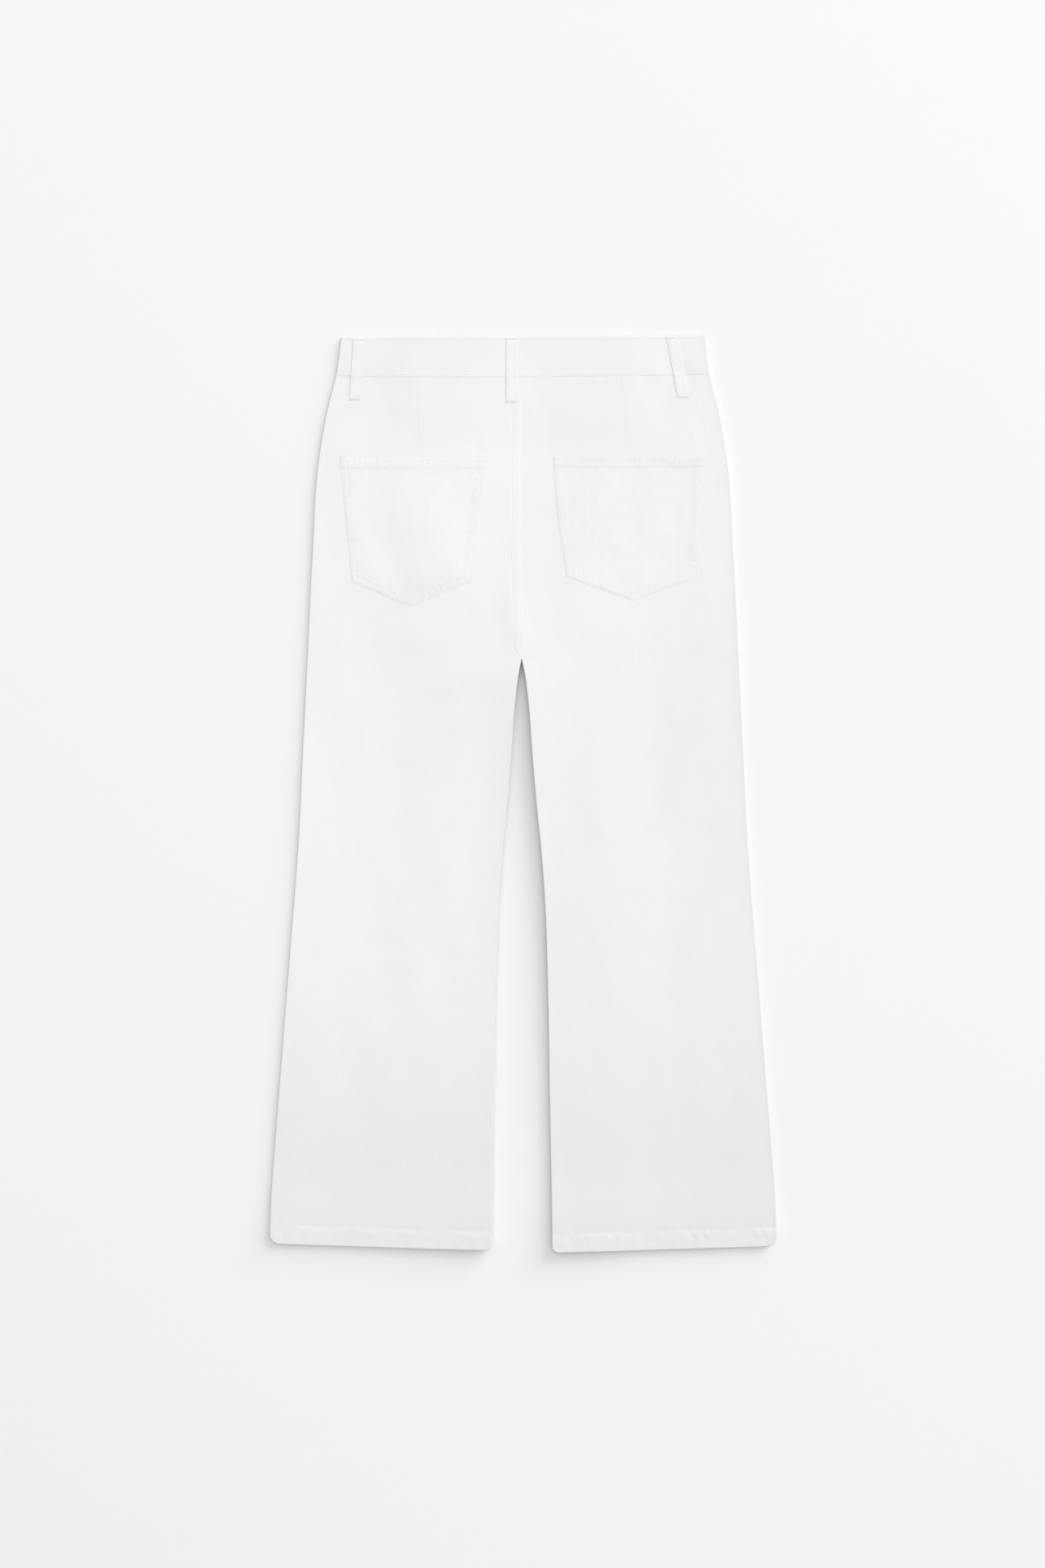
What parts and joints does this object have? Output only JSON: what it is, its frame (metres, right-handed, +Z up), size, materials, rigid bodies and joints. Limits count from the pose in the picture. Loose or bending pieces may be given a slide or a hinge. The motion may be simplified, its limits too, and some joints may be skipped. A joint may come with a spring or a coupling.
{
  "type": "capri pants",
  "caption": "Cropped flared jeans in off-white denim, laid flat on their front so that the back shows, with patch pockets, darts and belt loops.",
  "frame": {"origin": "on the floor under the middle of the garment's box", "axes": "+Y from the hems to the waist, +X to the wearer's right, +Z up out of the back of the garment"},
  "size_m": [0.5286, 0.9544, 0.0144],
  "materials": {
    "back_left": "matte twill",
    "back_right": "matte twill",
    "front_left": "matte twill",
    "front_right": "matte twill",
    "waistband_back": "matte twill",
    "waistband_front_left": "matte twill",
    "waistband_front_right": "matte twill",
    "pocket_back_left": "matte twill",
    "pocket_back_right": "matte twill",
    "belt_loop_back_left": "matte twill",
    "belt_loop_back_centre": "matte twill",
    "belt_loop_back_right": "matte twill",
    "belt_loop_front_left": "matte twill",
    "belt_loop_front_right": "matte twill",
    "button": "dull nickel"
  },
  "bodies": {
    "root": {"back_left": "back_left", "back_right": "back_right", "front_left": "front_left", "front_right": "front_right", "waistband_back": "waistband_back", "waistband_front_left": "waistband_front_left", "waistband_front_right": "waistband_front_right", "pocket_back_left": "pocket_back_left", "pocket_back_right": "pocket_back_right", "belt_loop_back_left": "belt_loop_back_left", "belt_loop_back_centre": "belt_loop_back_centre", "belt_loop_back_right": "belt_loop_back_right", "belt_loop_front_left": "belt_loop_front_left", "belt_loop_front_right": "belt_loop_front_right", "button": "button"}
  },
  "joints": []
}
